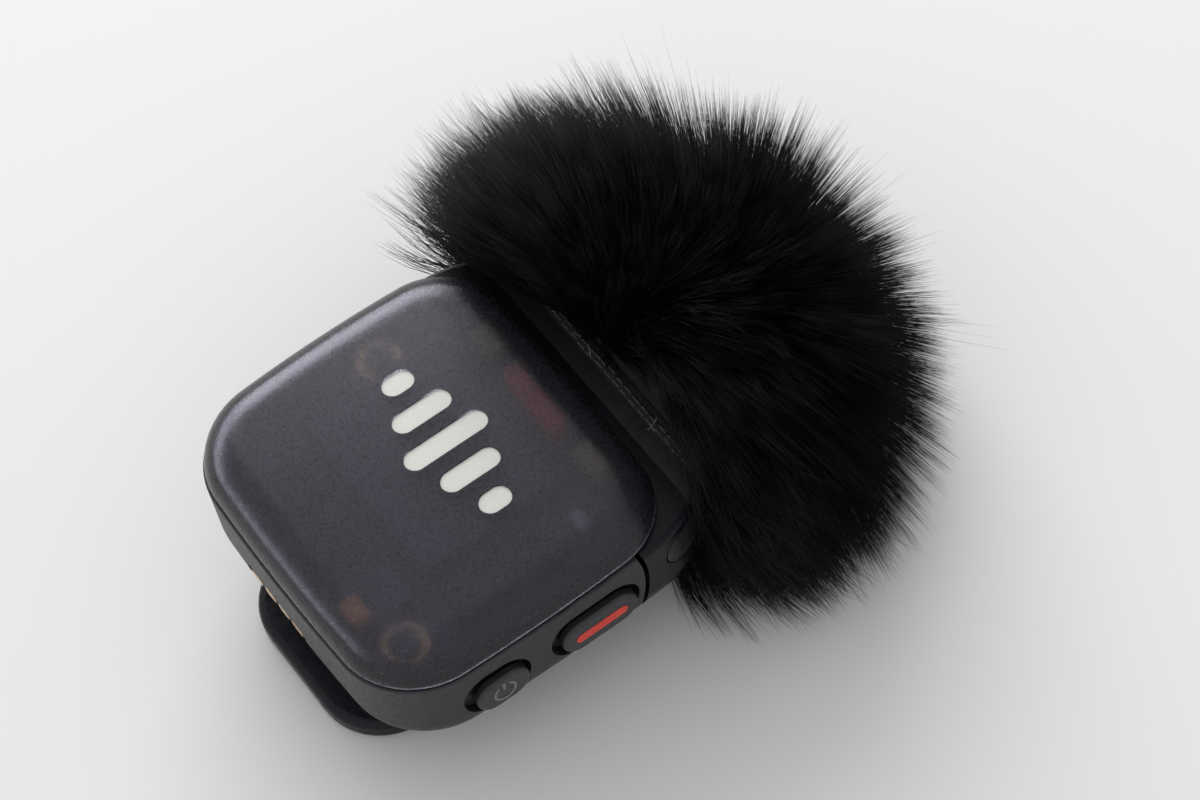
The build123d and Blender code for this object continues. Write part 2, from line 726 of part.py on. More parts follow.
def swivel_base():
    plan = Pos(0, sum(BASE_Y) / 2) * RectangleRounded(BASE_WIDTH, BASE_Y[1] - BASE_Y[0], BASE_CORNER)
    plate = prism(plan, BASE_BOTTOM, BASE_TOP)
    plate = fillet(top_edges(plate), BASE_ROUND)
    plate -= post(0, 0, ABOVE, BUSH_RADIUS + BUSH_CLEARANCE)
    plate -= post(0, 0, (0, BUSH_BOTTOM), WASHER_RADIUS + WASHER_CLEARANCE)
    plate -= block((-SPRING_SPACE_X, SPRING_SPACE_X), SPRING_SPACE_Y, (0, SPRING_SPACE_TOP))
    knuckle_y = (PIN_Y - KNUCKLE_RADIUS, PIN_Y + KNUCKLE_RADIUS)
    for x in BASE_KNUCKLES_X:
        plate += rod_x(x, PIN_Y, PIN_Z, KNUCKLE_RADIUS)
        plate += block(x, knuckle_y, (PIN_Z, BASE_TOP - 2 * BASE_ROUND))
    return plate - rod_x(EVERYWHERE, PIN_Y, PIN_Z, PIN_RADIUS)


def clip_pin():
    pin = rod_x((-PIN_HALF_LENGTH, PIN_HALF_LENGTH), PIN_Y, PIN_Z, PIN_RADIUS)
    return chamfer(pin.edges().group_by(Axis.X)[0] + pin.edges().group_by(Axis.X)[-1], PIN_CHAMFER)


# ---- Clip lever

def lever_plan():
    plan = Pos(0, sum(LEVER_Y) / 2) * Rectangle(LEVER_WIDTH, LEVER_Y[1] - LEVER_Y[0])
    plan = fillet(plan.vertices().group_by(Axis.Y)[0], LEVER_NEAR_CORNER)
    return fillet(plan.vertices().group_by(Axis.Y)[-1], LEVER_TAB_CORNER)


def clip_lever():
    plate = prism(lever_plan(), 0, LEVER_THICKNESS)
    plate = fillet(top_edges(plate) + bottom_edges(plate), LEVER_ROUND)
    plate += block((-JAW_X, JAW_X), JAW_Y, (LEVER_THICKNESS / 2, JAW_TOP))
    plate -= post(0, MAGNET_Y, (LEVER_THICKNESS - MAGNET_SINK, FAR), MAGNET_RADIUS + TIGHT)
    for y in GRIP_Y:
        groove = (y - GRIP_GROOVE / 2, y + GRIP_GROOVE / 2)
        plate -= block((-GRIP_HALF_LENGTH, GRIP_HALF_LENGTH), groove, (LEVER_THICKNESS - GRIP_DEPTH, FAR))
    for x in LEVER_KNUCKLES_X:
        plate += rod_x(x, PIN_Y, PIN_Z, KNUCKLE_RADIUS)
        plate += block(x, (PIN_Y - KNUCKLE_RADIUS, PIN_Y + KNUCKLE_RADIUS), (LEVER_THICKNESS / 2, PIN_Z))
    return plate - rod_x(EVERYWHERE, PIN_Y, PIN_Z, PIN_RADIUS + PIN_CLEARANCE)


def clip_pad():
    top = BASE_BOTTOM - JAW_GAP
    x = JAW_X - PAD_INSET
    pad = block((-x, x), shrink(JAW_Y, PAD_INSET), (JAW_TOP, top))
    for k in range(TOOTH_COUNT):
        middle = (k - (TOOTH_COUNT - 1) / 2) * TOOTH_PITCH
        groove = (middle - TOOTH_GROOVE / 2, middle + TOOTH_GROOVE / 2)
        pad -= block(groove, (-FAR, 0), (top - TOOTH_DEPTH, FAR))
    return pad


def clip_magnet():
    disc = post(0, MAGNET_Y, (LEVER_THICKNESS - MAGNET_SINK, LEVER_THICKNESS + MAGNET_PROUD), MAGNET_RADIUS)
    return chamfer(top_edges(disc), MAGNET_CHAMFER)


def clip_spring():
    """A torsion coil round the pin, with a leg on the lever's tab and a short one under the base."""
    height = SPRING_PITCH * SPRING_TURNS
    path = Helix(SPRING_PITCH, height, SPRING_COIL, lefthand=True)
    section = Plane(origin=path @ 0, z_dir=path % 0) * Circle(SPRING_WIRE)
    coil = sweep(section, path, is_frenet=True)
    coil = Pos(-height / 2, PIN_Y, PIN_Z) * Rot(0, 90, 0) * coil
    long_leg = rod_y(-height / 2, (PIN_Y, PIN_Y + LONG_LEG), PIN_Z - SPRING_COIL, SPRING_WIRE)
    short_leg = rod_y(height / 2, (PIN_Y, PIN_Y + SHORT_LEG), PIN_Z + SPRING_COIL, SPRING_WIRE)
    return [coil, long_leg, short_leg]


# ---- Windscreen

def neck_space():
    """The neck with its running gap, which the windscreen slides off along +Y."""
    inset = NECK_INSET - COLLAR_GAP
    return body_form(inset, BODY_TOP - inset, HEAD_RIM_ROUND)


def windscreen_collar():
    band = block(EVERYWHERE, (NECK_START + TIGHT, COLLAR_END_Y), ABOVE)
    ring = (body_form(0, rim=HEAD_RIM_ROUND) & band) - neck_space()
    rim = body_form(-RIM_PROUD, BODY_TOP + RIM_PROUD, HEAD_RIM_ROUND)
    rim -= body_form(RIM_DEPTH, BODY_TOP - RIM_DEPTH)
    ring += rim & block(EVERYWHERE, (RIM_Y - RIM_THICKNESS / 2, RIM_Y + RIM_THICKNESS / 2), ABOVE)
    tongues = (body_form(0) & tongue_space(0)) - body_form(TONGUE_THICKNESS, FAR)
    return ring + tongues


def core_form(inset):
    """The rounded block that the windscreen is built round, in front of the rim."""
    x = CORE_SIZE[0] / 2 - inset
    z = CORE_SIZE[2] / 2 - inset
    form = block((-x, x), (CORE_Y, CORE_Y + CORE_SIZE[1] - inset), (CORE_Z - z, CORE_Z + z))
    edges = form.edges().filter_by(lambda edge: edge.center().Y > CORE_Y + TIGHT)
    return fillet(edges, CORE_ROUND - inset)


def windscreen_backing():
    return core_form(0) - core_form(BACKING_THICKNESS)


def windscreen_foam():
    collar = body_form(-TIGHT, BODY_TOP + TIGHT) & block(EVERYWHERE, (0, COLLAR_END_Y + TIGHT), ABOVE)
    return core_form(BACKING_THICKNESS + TIGHT) - collar - neck_space()


def windscreen_fur():
    ball = Pos(*FUR_CENTRE) * scale(Sphere(1), by=FUR_RADII)
    ball &= block(EVERYWHERE, (FUR_BACK_Y, FAR), ABOVE)
    ball -= core_form(-TIGHT)
    side = SIDE_X + FUR_BODY_GAP
    ball -= block((-side, side), (-FAR, CORE_Y), (BODY_BOTTOM - FUR_BODY_GAP, FAR))
    return ball - post(0, 0, (-1, BODY_BOTTOM), SWEEP_RADIUS)


PIECES = [
    front_cover, emblem_inlay, seam_gasket, rear_housing, head_cap, contact_carrier, contact_pads,
    record_button, record_stripe, power_button, power_symbol, button_seals, record_switch, power_switch,
    switch_flex, main_board, shield_can, board_chips, tantalum_capacitors, orange_capacitor, crystal_can,
    status_led, plated_rings, board_screws, head_screws, battery_cell, battery_pad, keeper_plate,
    antenna_strip, mic_boot, mic_capsules, capsule_gasket, inlet_mesh, swivel_bush, swivel_spacer,
    swivel_washer, swivel_screw, swivel_base, clip_pin, clip_lever, clip_pad, clip_magnet, clip_spring,
    windscreen_collar, windscreen_foam, windscreen_backing, windscreen_fur,
]


def save(name, shape):
    """Write one piece, or a group of like pieces, as one STEP file."""
    pieces = shape if isinstance(shape, list) else [shape]
    solids = [solid for piece in pieces for solid in piece.solids()]
    export_step(solids[0] if len(solids) == 1 else Compound(children=solids), f"parts/{name}.step")


def main():
    os.makedirs("parts", exist_ok=True)
    for piece in PIECES:
        save(piece.__name__, piece())


main()
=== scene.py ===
import json
import math

import bpy
import numpy as np
from mathutils import Euler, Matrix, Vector


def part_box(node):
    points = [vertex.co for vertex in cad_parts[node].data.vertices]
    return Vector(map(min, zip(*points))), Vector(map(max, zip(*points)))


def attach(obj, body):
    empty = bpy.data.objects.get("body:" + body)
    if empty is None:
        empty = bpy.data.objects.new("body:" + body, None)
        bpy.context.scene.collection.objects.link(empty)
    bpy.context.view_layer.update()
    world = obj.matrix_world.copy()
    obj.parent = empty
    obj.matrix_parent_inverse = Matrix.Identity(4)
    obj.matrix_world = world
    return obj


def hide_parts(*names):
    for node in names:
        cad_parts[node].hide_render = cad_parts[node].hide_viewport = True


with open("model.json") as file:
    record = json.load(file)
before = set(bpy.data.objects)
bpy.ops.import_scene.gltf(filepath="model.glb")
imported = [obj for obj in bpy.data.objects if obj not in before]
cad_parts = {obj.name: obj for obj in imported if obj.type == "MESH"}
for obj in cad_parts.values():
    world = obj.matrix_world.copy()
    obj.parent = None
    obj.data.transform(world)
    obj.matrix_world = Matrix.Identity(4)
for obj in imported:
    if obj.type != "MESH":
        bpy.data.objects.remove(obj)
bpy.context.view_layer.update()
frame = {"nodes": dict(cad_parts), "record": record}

# Looks of a cordless clip-on lavalier microphone with a fur windscreen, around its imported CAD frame.
# Places and sizes are in millimetres in the script, and in metres in Blender.

MM = 0.001

# ---- Camera: where it looks, how far off it stands, and how it is turned
CAMERA_AIM = (1.04, 13.51, 10.88)
CAMERA_AZIMUTH = 65.72                        # degrees from -Y towards +X
CAMERA_ELEVATION = 57.95
CAMERA_ROLL = -13.07
CAMERA_DISTANCE = 277.4
LENS = 120.6
SENSOR_WIDTH = 36.0

# ---- Room, in metres
FLOOR_HALF = 2.0
KEY_AT = (-0.46, 0.24, 0.32)
KEY_AIM = (-0.04, 0.03, 0.01)
KEY_SIZE = (0.56, 0.4)
KEY_POWER = 2.7
ROOM_LIGHT = 0.66

# ---- Finishes
LEAST_GRAIN = 0.4                             # a finer grain than this would only flicker
DARK_GLOSS = 0.2                              # specular level of the head cap and the clip

# ---- Fur: the pile's outer form
FUR_CENTRE = np.array([0.0, 17.8, 7.8])       # its middle and half sizes
FUR_RADII = np.array([20.6, 19.7, 18.7])
LOBE = np.array([-0.86, -0.39, 0.33])         # the way in which the pile stands out furthest
LOBE_GROWTH = 0.09
SHORT = np.array([0.80, -0.25, -0.55])        # and the way in which it is shortest
SHORT_GROWTH = -0.07
LOBE_SHARPNESS = 5
RIM = np.array([0.15, -0.70, 0.70])           # where the short hairs beside the collar's rim stand
FUR_BACK_Y = 6.0                              # where the pile beside the body ends
FLOOR_REST = (0.2, 0.7)                       # hairs that would go below the floor lie this high on it

# ---- Fur: its edge over the body
FUR_EDGE_X = 5.0                              # the edge is furthest forward here,
FUR_EDGE_Y = 16.8                             # at this place,
FUR_EDGE_CURVE = 0.0135                       # and falls back towards -X, for each square mm,
FUR_EDGE_CORNER = 0.06                        # and towards +X
FUR_EDGE_LEAN = 0.6                           # single hairs end this far behind the edge or before it
LEAN_RANGE = 1.6
OVERHANG = 0.26                               # how far back the pile leans over the body, for each mm up
OVERHANG_SIDE = 0.025                         # and how much further towards -X, for each mm
LEAST_OVERHANG = 0.15
EDGE_DEPTH = (0.4, 3.0)                       # how far inside the edge its own hairs end
FREE_RINGS = 2                                # rings by the root that may be anywhere

# ---- Fur: its strands
FLOW = 1.9                                    # how far hairs lean along the pile, all the same way nearby
FLOW_WAVES = 14                               # waves that the lean is made of
FLOW_LENGTH = (4.5, 9.0)
STRAY = 0.3                                   # how far each hair is out of line with its clump
CORE_MARGIN = 0.4                             # roots lie this far inside the backing
CORE_SQUARENESS = 4.0
RINGS = 6                                     # rings of points along a strand
SIDES = 3
STEM_SHARE = 0.42                             # how far a strand stands up from its root, of its length
CLUMP_START = 1.6                             # a clump draws together late along its hairs
NEAREST_STEP = 4000                           # hairs matched to clumps at a time
MOST_TRIANGLES = 180000                       # in one piece of fur

# ---- Body, as the hair and the rim meet it
HEAD_CORNER = 8.5
BODY_GAP = 0.25                               # hairs keep this far from the body's sides
SIDE_GAP = 0.6                                # beyond the sides, hairs may hang down past the body
RIM_BACK = 14.6
RIM_TOP = 13.3                                # top of the collar's rim, and of the head behind it
COVER_ROLL = 3.0
CLIP_REACH = 15.0                             # the clip turns inside this radius

# ---- Under the fur
RELIEF_SEED = 31
FOAM_VOXEL = 0.22
KNIT_VOXEL = 0.18
PORE_DEPTH = 0.12
KNIT_ROW = 0.9
KNIT_LOOP = 0.7
KNIT_DEPTH = 0.05
RIM_STEP = 0.35                               # the rim stands this far above the tape
RIM_CORNERS = (0.45, 2.0)                     # top and bottom corners of the collar
CORNER_POINTS = 8
TAPE_Y = (14.35, 14.94)
TAPE_POINTS = 240                             # round the rim
TAPE_THICKNESS = 0.14
TAPE_EDGE = 0.08
STITCH_ROWS_Y = (14.5, 14.86)
STITCHES = 56                                 # in each row
STITCH_SEED = 21


# ---- Shared tools

def principled(name, colour, roughness):
    """A new material and its shader, with the values that are the same all over."""
    made = bpy.data.materials.new(name)
    made.use_nodes = True
    shader = made.node_tree.nodes["Principled BSDF"]
    shader.inputs["Base Color"].default_value = (*colour, 1)
    shader.inputs["Roughness"].default_value = roughness
    return made, shader


def add(made, kind, **values):
    """A node in a material, with its inputs by name."""
    node = made.node_tree.nodes.new(kind)
    for key, value in values.items():
        node.inputs[key.replace("_", " ")].default_value = value
    return node


def join(made, source, target):
    made.node_tree.links.new(source, target)


def place(made):
    """The point on the piece, in the row frame, in metres."""
    return add(made, "ShaderNodeTexCoord").outputs["Object"]


def noise(made, size, detail=2.0, rough=0.5, stretch=(1, 1, 1)):
    """A noise whose features are about size millimetres across."""
    mapping = add(made, "ShaderNodeMapping", Scale=stretch)
    join(made, place(made), mapping.inputs["Vector"])
    texture = add(made, "ShaderNodeTexNoise", Scale=1 / (size * MM), Detail=detail, Roughness=rough)
    join(made, mapping.outputs["Vector"], texture.inputs["Vector"])
    return texture.outputs["Fac"]


def ramp(made, source, stops):
    """Colours or grey levels along a value from 0 to 1."""
    node = add(made, "ShaderNodeValToRGB")
    join(made, source, node.inputs["Fac"])
    elements = node.color_ramp.elements
    while len(elements) < len(stops):
        elements.new(0.5)
    for element, (where, level) in zip(elements, stops):
        element.position = where
        colour = (level, level, level) if isinstance(level, (int, float)) else level
        element.color = (*colour, 1)
    return node.outputs["Color"]


def bump(made, shader, height, depth, strength=1.0):
    """Raises the surface by depth millimetres where height is 1."""
    node = add(made, "ShaderNodeBump", Strength=strength, Distance=depth * MM)
    join(made, height, node.inputs["Height"])
    join(made, node.outputs["Normal"], shader.inputs["Normal"])


def moulded(name, colour, roughness, grain=0.3, depth=0.012, spread=0.12, tint=1.35):
    """Moulded plastic: a spark-eroded grain, and slow changes of shade and gloss."""
    made, shader = principled(name, colour, roughness)
    light = tuple(min(1, c * tint) for c in colour)
    shade = ramp(made, noise(made, 0.22, 6, 0.7), [(0.35, colour), (0.68, light)])
    join(made, shade, shader.inputs["Base Color"])
    glossy = max(0.02, roughness - spread)
    matt = min(1, roughness + spread)
    join(made, ramp(made, noise(made, 0.5, 3), [(0.3, glossy), (0.7, matt)]), shader.inputs["Roughness"])
    bump(made, shader, noise(made, max(grain, LEAST_GRAIN), 0), depth, 0.6)
    return made


def metal(name, colour, roughness, brushed=(1, 1, 1), grain=0.15, depth=0.004):
    """Bare or plated metal with fine brushing and faint stains."""
    made, shader = principled(name, colour, roughness)
    shader.inputs["Metallic"].default_value = 1.0
    dull = tuple(c * 0.72 for c in colour)
    join(made, ramp(made, noise(made, 0.8, 4), [(0.35, dull), (0.65, colour)]), shader.inputs["Base Color"])
    glossy = roughness * 0.7
    matt = min(1, roughness * 1.4)
    brushing = ramp(made, noise(made, grain, 3, 0.6, brushed), [(0.3, glossy), (0.7, matt)])
    join(made, brushing, shader.inputs["Roughness"])
    bump(made, shader, noise(made, grain, 2, 0.5, brushed), depth)
    return made


# ---- Materials of the CAD nodes

def smoked_cover():
    """Frosted smoked plastic with a fine grain: what lies inside shows through it, dim and blurred."""
    made, shader = principled("smoked_cover", (0.36, 0.35, 0.42), 0.3)
    shader.inputs["Transmission Weight"].default_value = 0.96
    shader.inputs["IOR"].default_value = 1.38
    shader.inputs["Specular IOR Level"].default_value = 0.1
    tint = ramp(made, noise(made, 0.16, 4, 0.7), [(0.35, (0.32, 0.31, 0.39)), (0.68, (0.40, 0.39, 0.48))])
    join(made, tint, shader.inputs["Base Color"])
    gloss = ramp(made, noise(made, 0.3, 3), [(0.3, 0.24), (0.7, 0.33)])
    join(made, gloss, shader.inputs["Roughness"])
    bump(made, shader, noise(made, 0.5, 0), 0.02, 0.25)
    return made


def paint_nodes():
    """Gives every CAD node its finish."""
    finishes = {
        "smoked_cover": smoked_cover(),
        "emblem_white": moulded("emblem_white", (0.70, 0.69, 0.64), 0.42, 0.25, 0.01, 0.08, 1.08),
        "housing_plastic": moulded("housing_plastic", (0.016, 0.016, 0.018), 0.48, 0.14, 0.014, 0.06, 1.5),
        "seal_rubber": moulded("seal_rubber", (0.008, 0.008, 0.009), 0.75, 0.4, 0.01),
        "button_plastic": moulded("button_plastic", (0.020, 0.020, 0.023), 0.42, 0.2, 0.008),
        "record_red": moulded("record_red", (0.62, 0.035, 0.02), 0.4, 0.2, 0.006, 0.08, 1.2),
        "symbol_grey": moulded("symbol_grey", (0.13, 0.13, 0.14), 0.45, 0.2, 0.004),
        "contact_gold": metal("contact_gold", (0.80, 0.56, 0.30), 0.28),
        "steel": metal("steel", (0.58, 0.57, 0.55), 0.3, (1, 8, 1)),
        "dark_steel": metal("dark_steel", (0.16, 0.16, 0.17), 0.35),
        "brass": metal("brass", (0.62, 0.44, 0.19), 0.3),
        "board_green": moulded("board_green", (0.035, 0.038, 0.06), 0.45, 0.3, 0.01, 0.1, 1.5),
        "chip_black": moulded("chip_black", (0.012, 0.012, 0.013), 0.55, 0.1, 0.008),
        "capacitor_olive": moulded("capacitor_olive", (0.42, 0.36, 0.14), 0.5, 0.2, 0.01),
        "capacitor_orange": moulded("capacitor_orange", (0.95, 0.48, 0.16), 0.45, 0.2, 0.01, 0.1, 1.1),
        "can_silver": metal("can_silver", (0.16, 0.165, 0.20), 0.6),
        "led_white": moulded("led_white", (0.70, 0.68, 0.60), 0.3, 0.2, 0.004, 0.05, 1.05),
        "boot_red": moulded("boot_red", (0.75, 0.04, 0.04), 0.5, 0.4, 0.02),
        "battery_foil": metal("battery_foil", (0.45, 0.46, 0.47), 0.35, (1, 1, 1), 0.6, 0.02),
        "pad_foam": moulded("pad_foam", (0.03, 0.03, 0.032), 0.9, 0.25, 0.05),
        "flex_amber": moulded("flex_amber", (0.35, 0.14, 0.03), 0.4, 0.3, 0.006),
        "clip_plastic": moulded("clip_plastic", (0.010, 0.011, 0.014), 0.34, 0.14, 0.006),
        "magnet_nickel": metal("magnet_nickel", (0.66, 0.63, 0.58), 0.22),
        "collar_plastic": moulded("collar_plastic", (0.010, 0.010, 0.011), 0.4, 0.2, 0.01),
        "foam_black": moulded("foam_black", (0.006, 0.006, 0.007), 0.95, 0.5, 0.2),
        "backing_knit": moulded("backing_knit", (0.005, 0.005, 0.006), 0.9, 0.5, 0.15),
        "fur_black": moulded("fur_black", (0.004, 0.004, 0.005), 0.8, 0.3, 0.1),
    }
    # The head cap gets a darker, glossier copy of the housing plastic. Its near-black colour is partly
    # painted shade from the fur that overhangs it, and partly its own glossy black finish.
    glossy_head_painted_shade = moulded("head_plastic_painted_shade", (0.005, 0.005, 0.008), 0.24, 0.16, 0.006, 0.05, 1.5)
    for dark in (glossy_head_painted_shade, finishes["clip_plastic"]):
        dark.node_tree.nodes["Principled BSDF"].inputs["Specular IOR Level"].default_value = DARK_GLOSS
    for part in frame["record"]["subparts"]:
        mesh = frame["nodes"][part["node"]].data
        mesh.materials.clear()
        mesh.materials.append(glossy_head_painted_shade if part["node"] == "head_cap" else finishes[part["material_slot"]])


# ---- Fur

def spread(count, rng, jitter):
    """Unit vectors spread evenly over a sphere and shaken a little."""
    index = np.arange(count) + 0.5
    height = 1 - 2 * index / count
    turn = index * math.pi * (3 - math.sqrt(5))
    ring = np.sqrt(1 - height ** 2)
    rays = np.stack([ring * np.cos(turn), ring * np.sin(turn), height], 1)
    rays += rng.normal(0, jitter, rays.shape)
    return rays / np.linalg.norm(rays, axis=1, keepdims=True)


def body_half_width(y):
    """Half the width of the microphone's body at y, with its rounded head corners."""
    side = cad_side() + BODY_GAP
    past = np.clip(y - (HEAD_TIP - HEAD_CORNER), 0, HEAD_CORNER)
    return side - HEAD_CORNER + np.sqrt(HEAD_CORNER ** 2 - past ** 2)


def cad_side():
    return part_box("rear_housing")[1].x / MM


HEAD_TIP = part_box("head_cap")[1].y / MM
BODY_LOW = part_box("rear_housing")[0].z / MM
BODY_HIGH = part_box("front_cover")[1].z / MM
COVER_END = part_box("front_cover")[1].y / MM
CORE_LOW, CORE_HIGH = [np.array(c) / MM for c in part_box("windscreen_backing")]


def body_top(y):
    """Height of the body at y: the cover, its rolled far edge, and the head in front of it."""
    roll = np.clip((y - COVER_END + COVER_ROLL) / COVER_ROLL, 0, 1)
    return RIM_TOP + (BODY_HIGH - RIM_TOP) * np.sqrt(1 - roll ** 2)


def in_the_way(points):
    """True where a point is in the body, or where the clip turns."""
    x, y, z = points[..., 0], points[..., 1], points[..., 2]
    body = (y < RIM_BACK) & (np.abs(x) < body_half_width(y)) & (z > BODY_LOW - 0.2) & (z < body_top(y))
    clip = (z < BODY_LOW) & (np.hypot(x, y) < CLIP_REACH)
    return body | clip


def roots(rays):
    """Points on the backing, and which way its surface faces there."""
    centre = (CORE_LOW + CORE_HIGH) / 2
    half = (CORE_HIGH - CORE_LOW) / 2 - CORE_MARGIN
    shares = rays / half
    reach = (np.abs(shares) ** CORE_SQUARENESS).sum(1) ** (-1 / CORE_SQUARENESS)
    at = rays * reach[:, None]
    facing = np.sign(at) * np.abs(at / half) ** (CORE_SQUARENESS - 1) / half
    return centre + at, facing / np.linalg.norm(facing, axis=1, keepdims=True)


def edge_of_fur(x, z):
    """Where the pile over the body starts, at a place across it and a height."""
    slope = np.clip(OVERHANG - OVERHANG_SIDE * x, LEAST_OVERHANG, None)
    left = FUR_EDGE_CURVE * np.clip(FUR_EDGE_X - x, 0, None) ** 2
    right = FUR_EDGE_CORNER * np.clip(x - FUR_EDGE_X, 0, None) ** 2
    return FUR_EDGE_Y - left - right - slope * np.clip(z - RIM_TOP, 0, None)


def over_body(x, z):
    """True above the body, out to a little past its sides."""
    return (np.abs(x) < cad_side() + SIDE_GAP) & (z > RIM_TOP)


def strand_paths(rays, reach, rng):
    """The curve of each strand: up from the backing, then out to the pile's surface."""
    start, facing = roots(rays)
    lobe = 1 + LOBE_GROWTH * np.clip(rays @ LOBE, 0, 1) ** LOBE_SHARPNESS
    lobe += SHORT_GROWTH * np.clip(rays @ SHORT, 0, 1) ** LOBE_SHARPNESS
    tip = FUR_CENTRE + rays * FUR_RADII * (reach * lobe)[:, None]
    short = edge_of_fur(tip[:, 0], tip[:, 2]) + rng.uniform(*EDGE_DEPTH, len(tip)) - tip[:, 1]
    tip[:, 1] += np.clip(short, 0, None) * over_body(tip[:, 0], tip[:, 2])
    length = np.linalg.norm(tip - start, axis=1, keepdims=True)
    bend = start + facing * length * STEM_SHARE
    t = np.linspace(0, 1, RINGS)[None, :, None]
    return (1 - t) ** 2 * start[:, None] + 2 * t * (1 - t) * bend[:, None] + t ** 2 * tip[:, None]


def gather(paths, leaders, pull):
    """Draws the strands together towards their clump's leader, more and more along their length."""
    chosen = paths[leaders]
    tips = paths[:, -1]
    nearest = np.empty(len(paths), int)
    for low in range(0, len(paths), NEAREST_STEP):
        some = slice(low, low + NEAREST_STEP)
        gaps = ((tips[some, None] - chosen[None, :, -1]) ** 2).sum(2)
        nearest[some] = gaps.argmin(1)
    t = np.linspace(0, 1, RINGS)[None, :, None]
    return paths + (chosen[nearest] - paths) * pull[:, None, None] * t ** CLUMP_START, nearest


def lie_on_floor(paths, rng):
    """Bends the strands that would reach below the floor along it."""
    lowest, highest = FLOOR_REST
    rest = lowest + rng.random((len(paths), 1)) * (highest - lowest)
    low = paths[..., 2] < rest
    paths[..., 2] = np.where(low, rest, paths[..., 2])
    return paths


def strand_mesh(name, paths, thickness, tones, finishes):
    """A mesh of tapered closed strands, each with its tone of finish."""
    count = len(paths)
    along = np.gradient(paths, axis=1)
    along /= np.linalg.norm(along, axis=2, keepdims=True) + 1e-9
    other = np.where(np.abs(along[..., 2:]) < 0.9, np.array([0, 0, 1.0]), np.array([1.0, 0, 0]))
    across = np.cross(along, other)
    across /= np.linalg.norm(across, axis=2, keepdims=True) + 1e-9
    over = np.cross(along, across)
    t = np.linspace(0, 1, RINGS)
    taper = np.clip(1.05 * (1 - t ** 4), 0.08, 1)
    radius = thickness[:, None] / 2 * taper[None, :]
    corners = []
    for side in range(SIDES):
        angle = 2 * math.pi * side / SIDES
        offset = across * math.cos(angle) + over * math.sin(angle)
        corners.append(paths + offset * radius[..., None])
    points = np.stack(corners, 2).reshape(-1, 3) * MM

    ring = np.arange(RINGS - 1)[:, None] * SIDES
    side = np.arange(SIDES)[None, :]
    after = (side + 1) % SIDES
    quads = np.stack([ring + side, ring + after, ring + SIDES + after, ring + SIDES + side], 2).reshape(-1, 4)
    first = np.arange(count)[:, None, None] * RINGS * SIDES
    quads = (quads[None] + first).reshape(-1, 4)
    caps = np.array([np.arange(SIDES)[::-1], np.arange(SIDES) + (RINGS - 1) * SIDES])
    caps = (caps[None] + first).reshape(-1, SIDES)

    mesh = bpy.data.meshes.new(name)
    mesh.vertices.add(len(points))
    mesh.vertices.foreach_set("co", points.astype(np.float32).ravel())
    loops = np.concatenate([quads.ravel(), caps.ravel()])
    mesh.loops.add(len(loops))
    mesh.loops.foreach_set("vertex_index", loops.astype(np.int32))
    starts = np.concatenate([np.arange(len(quads)) * 4, len(quads) * 4 + np.arange(len(caps)) * SIDES])
    mesh.polygons.add(len(starts))
    mesh.polygons.foreach_set("loop_start", starts.astype(np.int32))
    band = np.repeat(np.arange(RINGS - 1), SIDES)
    # The last two bands of each strand take the second half of the finishes. On the fur these are the lighter
    # tips, which are painted backlight. On the stitches this is the paler grey of the painted glint.
    tone = tones[:, None] + np.where(band[None, :] >= RINGS - 3, len(finishes) // 2, 0)
    tone = np.concatenate([tone.ravel(), np.repeat(tones, 2)])
    for finish in finishes:
        mesh.materials.append(finish)
    mesh.polygons.foreach_set("material_index", tone.astype(np.int32))
    mesh.polygons.foreach_set("use_smooth", np.ones(len(starts), bool))
    mesh.update(calc_edges=True)
    mesh.validate()
    piece = bpy.data.objects.new(name, mesh)
    bpy.context.scene.collection.objects.link(piece)
    return piece


def hair_finish(name, colour, roughness, gloss):
    made, shader = principled(name, colour, roughness)
    shader.inputs["Specular IOR Level"].default_value = gloss
    return made


def flow(paths, amount, rng):
    """Leans the strands along the pile's surface, neighbours much the same way."""
    tips = paths[:, -1]
    lean = np.zeros_like(tips)
    for _ in range(FLOW_WAVES):
        wave = rng.normal(0, 1, 3)
        wave *= 2 * math.pi / (rng.uniform(*FLOW_LENGTH) * np.linalg.norm(wave))
        lean += np.sin(tips @ wave + rng.uniform(0, 2 * math.pi))[:, None] * rng.normal(0, 1, 3)
    lean *= amount / math.sqrt(FLOW_WAVES / 2)
    outward = tips - FUR_CENTRE
    outward /= np.linalg.norm(outward, axis=1, keepdims=True)
    lean -= outward * (lean * outward).sum(1, keepdims=True)
    t = np.linspace(0, 1, RINGS)[None, :, None]
    return paths + lean[:, None] * t ** 1.5


def out_of_place(paths, lean):
    """True for a strand that leans over the body, ends behind the pile, or runs through something."""
    x, y, z = np.moveaxis(paths[:, FREE_RINGS:], -1, 0)
    lean = lean[:, None]
    over = over_body(x, z) & (y < edge_of_fur(x, z) + FUR_EDGE_LEAN - lean)
    behind = y < FUR_BACK_Y + lean
    return (over | behind).any(1) | in_the_way(paths).any(1)


